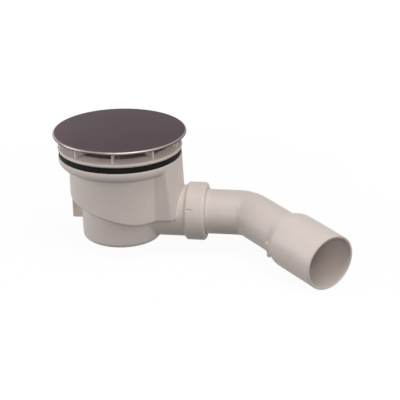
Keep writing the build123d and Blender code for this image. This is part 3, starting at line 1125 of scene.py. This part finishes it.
# %% [markdown]
# ## Outlet bend
#
# The bend is a pipe along a path: straight out of the nut, round a tight corner of 45 degrees, then a leg
# that steps up to the larger end. Its wall is a closed outline in length and radius, outside, round the
# mouth's edge and back along the bore. Each outline point is carried along the path and turned round it, so
# the bend is the same kind of grid as the turned pieces. The flat stop lug at the shoulder is again a
# window on the radius, and the faint gate mark a small bell curve on it.

# %% Path of the bend
bend_turn = np.radians(45.0)
bend_r = 23.0
bend_roll = np.radians(7.5)
leg_len = 110.4
bend_tangent = bend_r * np.tan(bend_turn / 2)
arc_len = bend_r * bend_turn
arc_start = bend_tangent - arc_len
run_start = arc_start - (bend_corner_x - bend_tangent - pipe_in_x)


def bend_path(run):
    """Centre and sideways direction of the path at a run measured along it, which on the leg is the
    distance from the corner: a straight, then a part of a circle, then a straight in its last direction."""
    angle = np.clip((run - arc_start) / bend_r, 0, bend_turn)
    before = np.minimum(run - arc_start, 0)
    after = np.maximum(run - bend_tangent, 0)
    start_x = bend_corner_x - bend_tangent
    x = start_x + before + bend_r * np.sin(angle) + after * np.cos(angle)
    y = -bend_r * (1 - np.cos(angle)) - after * np.sin(angle)
    return np.stack([x, y, 0 * x], -1), np.stack([np.sin(angle), np.cos(angle), 0 * x], -1)


# %% Wall of the bend
shoulder_start = 50.0
shoulder_len = 10.0
shoulder_ease = 2.4
shoulder_rows = (shoulder_start - 6.0, shoulder_start + shoulder_len + 8.0)
bell_r = 25.0
mouth_edge = 0.6
gate_run = arc_start + 4.6
gate_arc = np.radians(138.0)
gate_w = 1.6
gate_h = 2.0
gate_rise = 0.5
stop_run = (shoulder_start + 2.0, shoulder_start + 5.5)
stop_face = pipe_r + 1.4
stop_bar_r = pipe_r + 3.2
stop_rise = 2.0
stop_drop = 12.5
stop_arc = (np.pi - np.arctan(stop_rise / stop_face), np.pi + np.arctan(stop_drop / stop_face))


def step_up(run):
    """Rise of the shoulder: a straight ramp whose two ends are eased by hyperbolas."""
    ramp = (bell_r - pipe_r) / shoulder_len

    def eased(x):
        """0 before the corner and x after it, with a hyperbola between."""
        return (x + np.sqrt(x * x + shoulder_ease**2)) / 2

    return ramp * (eased(run - shoulder_start) - eased(run - shoulder_start - shoulder_len))


def wall_runs(end):
    """Runs along the wall, closer together on the corner, the shoulder and the stop lug's sides."""
    parts = [
        np.linspace(run_start, arc_start, 12),
        np.linspace(arc_start, bend_tangent, 28),
        np.linspace(gate_run - 2.5, gate_run + 2.5, 21),
        np.linspace(bend_tangent, shoulder_rows[0], 10),
        np.linspace(*shoulder_rows, 80),
        np.linspace(stop_run[0] - 0.4, stop_run[0] + 0.4, 9),
        np.linspace(stop_run[1] - 0.4, stop_run[1] + 0.4, 9),
        np.linspace(shoulder_rows[1], end, 10),
    ]
    return np.unique(np.round(np.concatenate(parts), 4))


def bend_outline():
    """Closed outline (radius, run): outside to the mouth, round its edge with two quarter rounds, and back
    along the bore."""
    end = leg_len - mouth_edge
    runs = wall_runs(end)
    outside = np.stack([pipe_r + step_up(runs), runs], 1)
    inside = outside[::-1] - [pipe_wall, 0]
    swing = np.linspace(0, np.pi / 2, 7)[1:]
    across, onward = mouth_edge * np.cos(swing), mouth_edge * np.sin(swing)
    outer_edge = np.stack([bell_r - mouth_edge + across, end + onward], 1)
    inner_edge = np.stack([bell_r - pipe_wall + mouth_edge - onward, end + across], 1)
    return np.concatenate([outside, outer_edge, inner_edge[:-1], inside])


# %% Outlet bend skin
bend_steps = 168
stop_ease = 0.3
stop_arc_ease = 0.015


def bend_radius(outline, angles):
    """Wall radius for every outline point and angle: the outline, the stop lug, whose flat face lies at its
    distance over the cosine of the angle from its middle, and a faint gate mark left by moulding."""
    radius, run = outline[:, :1], outline[:, 1:]
    outer = radius > pipe_r + step_up(run) - pipe_wall / 2
    lug = window(run, *stop_run, stop_ease) * window(angles, *stop_arc, stop_arc_ease)
    face_r = np.maximum(stop_face / np.maximum(-np.cos(angles), 0.5), stop_bar_r)
    with_lug = np.maximum(radius, radius + lug * (face_r - radius))
    gate = np.exp(-(((run - gate_run) / gate_w) ** 2) - ((angles - gate_arc) * pipe_r / gate_h) ** 2)
    return np.where(outer, with_lug + gate_rise * gate, radius)


def outlet_bend():
    """The wall's outline carried along the path, turned round it, and rolled in the nut to its drop."""
    outline = counter_clockwise(bend_outline())
    close = np.linspace(-2.0, 2.0, 9) * stop_arc_ease
    gate_close = np.linspace(-3.0, 3.0, 21) / pipe_r
    angles = np.linspace(0, 2 * np.pi, bend_steps, endpoint=False)
    angles = np.concatenate([angles, stop_arc[0] + close, stop_arc[1] + close, gate_arc + gate_close])
    angles = np.unique(np.round(angles, 5))
    radius = bend_radius(outline, angles)[..., None]
    centre, sideways = bend_path(outline[:, 1])
    out_y = sideways[:, None] * np.cos(angles)[None, :, None]
    out_z = np.array([0.0, 0.0, 1.0]) * np.sin(angles)[None, :, None]
    points = centre[:, None] + radius * (out_y + out_z)
    c, s = np.cos(bend_roll), np.sin(bend_roll)
    x, y, z = points[..., 0], points[..., 1], points[..., 2]
    points = np.stack([x, y * c - z * s, y * s + z * c + outlet_z], -1)
    faces = ring_faces(*points.shape[:2])
    return new_piece("outlet_bend_skin", points.reshape(-1, 3), faces, "white_plastic")


bend_skin = outlet_bend()
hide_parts("outlet_bend")

# %% [markdown]
#
# The box of what is shown, less the box of the CAD nodes, is printed in millimetres: a skin should not be
# larger than the solids that it covers.

seen_low, seen_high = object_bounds()
growth = (seen_high - seen_low) - (cad_high - cad_low)
print("visual less CAD, mm:", [round(side / MM, 3) for side in growth])
